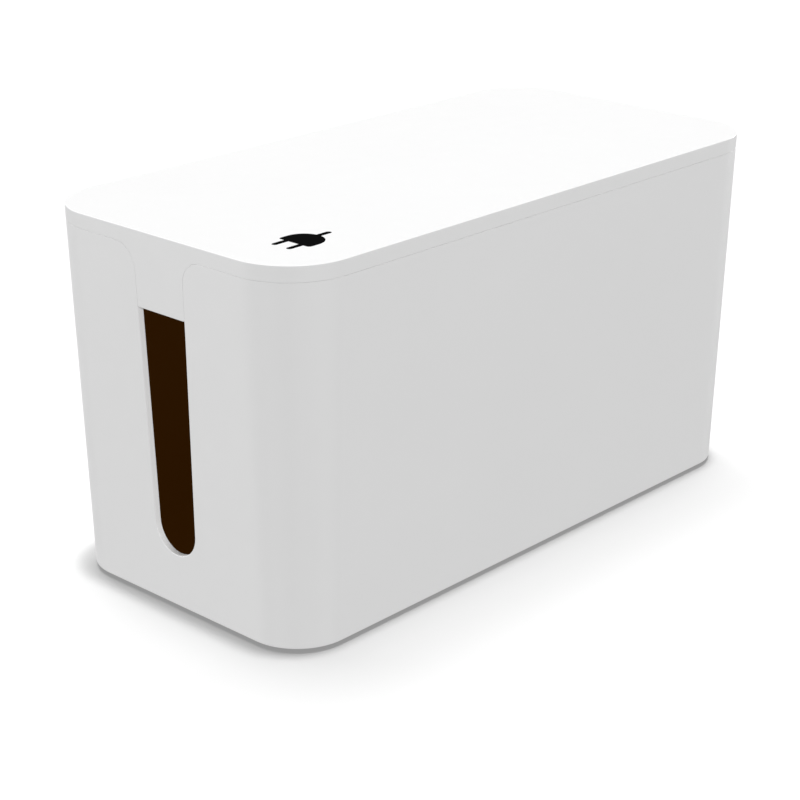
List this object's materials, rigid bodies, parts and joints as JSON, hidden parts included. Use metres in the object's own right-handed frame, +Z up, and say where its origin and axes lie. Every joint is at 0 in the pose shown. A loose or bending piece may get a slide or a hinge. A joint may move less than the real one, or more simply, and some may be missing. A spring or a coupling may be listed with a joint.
{
  "type": "cable management box",
  "caption": "Lidded box that hides cables, with a slot in each end wall for them and a power strip inside with a rocker switch, reset button and indicator.",
  "frame": {"origin": "middle of the footprint, on the plane that the rubber feet stand on", "axes": "+X along the box's length, towards the end away from the strip's cord gland; +Y across it; +Z up"},
  "size_m": [0.235, 0.115, 0.1258],
  "materials": {
    "shell_plastic": "fine matt ABS, white",
    "lid_plastic": "fine matt ABS, white",
    "foot_rubber": "matt black rubber",
    "strip_plastic": "fine matt ABS, white",
    "pad_rubber": "matt black rubber",
    "screw_steel": "zinc-plated steel",
    "gland_rubber": "matt black rubber",
    "contact_brass": "bright brass",
    "switch_plastic": "matt black plastic",
    "rocker_plastic": "glossy red plastic",
    "breaker_plastic": "matt black plastic",
    "nut_plastic": "white plastic",
    "button_plastic": "glossy black plastic",
    "circuit_board": "green circuit board with solder mask",
    "varistor_coat": "blue epoxy coating",
    "capacitor_case": "yellow moulded case",
    "fuse_body": "white ceramic-filled body",
    "chip_plastic": "pale encapsulated chip",
    "lens_plastic": "translucent green plastic",
    "wire_black": "black PVC",
    "wire_white": "white PVC",
    "wire_green": "green PVC"
  },
  "bodies": {
    "box": {"body_shell": "shell_plastic", "rubber_feet": "foot_rubber"},
    "lid": {"lid": "lid_plastic"},
    "strip": {"strip_base": "strip_plastic", "strip_cover": "strip_plastic", "strip_pads": "pad_rubber", "strip_screws": "screw_steel", "cord_grommet": "gland_rubber", "live_bar": "contact_brass", "neutral_bar": "contact_brass", "earth_bar": "contact_brass", "switch_housing": "switch_plastic", "switch_terminals": "contact_brass", "breaker_body": "breaker_plastic", "breaker_nut": "nut_plastic", "breaker_terminals": "contact_brass", "surge_board": "circuit_board", "varistors": "varistor_coat", "filter_capacitor": "capacitor_case", "thermal_fuse": "fuse_body", "indicator_chip": "chip_plastic", "indicator_lens": "lens_plastic", "black_wires": "wire_black", "white_wire": "wire_white", "green_wire": "wire_green"},
    "rocker": {"switch_rocker": "rocker_plastic"},
    "reset": {"reset_button": "button_plastic"}
  },
  "joints": [
    {"name": "lid_lift", "type": "slide", "parent": "box", "child": "lid", "axis": [0, 0, 1], "range_m": [0, 0.15]},
    {"name": "strip_lift", "type": "slide", "parent": "box", "child": "strip", "axis": [0, 0, 1], "range_m": [0, 0.07]},
    {"name": "rocker_tilt", "type": "hinge", "parent": "strip", "child": "rocker", "pos_m": [-0.063, 0, 0.0362], "axis": [0, -1, 0], "range_deg": [0, 18]},
    {"name": "reset_pop", "type": "slide", "parent": "strip", "child": "reset", "axis": [0, 0, 1], "range_m": [0, 0.0025]}
  ]
}
